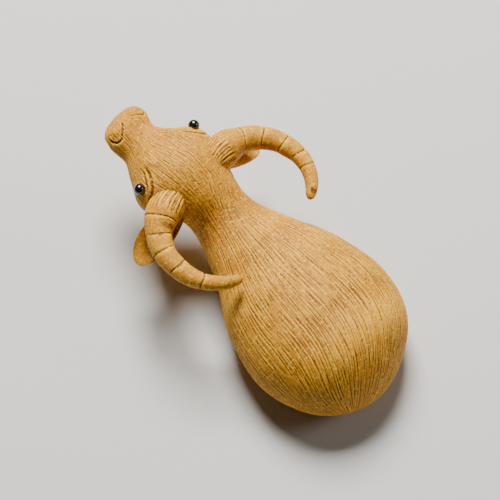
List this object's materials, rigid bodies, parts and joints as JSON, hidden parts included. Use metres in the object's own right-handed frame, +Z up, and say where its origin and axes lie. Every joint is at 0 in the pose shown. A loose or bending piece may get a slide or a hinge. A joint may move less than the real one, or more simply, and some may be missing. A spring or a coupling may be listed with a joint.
{
  "type": "tea pet",
  "caption": "Small clay tea-tray ornament in the form of a resting water buffalo with ringed horns, a gourd-shaped body and bead eyes.",
  "frame": {"origin": "middle of the bounding box, at the level of the flat underside", "axes": "the animal looks along -Y, +Y runs from its muzzle to its rump, +X is its left side, +Z is up"},
  "size_m": [0.05, 0.0956, 0.0316],
  "materials": {
    "clay": "matt fired clay, unglazed, finely combed",
    "bead": "polished black"
  },
  "bodies": {
    "root": {"clay_body": "clay", "eye_left": "bead", "eye_right": "bead"}
  },
  "joints": []
}
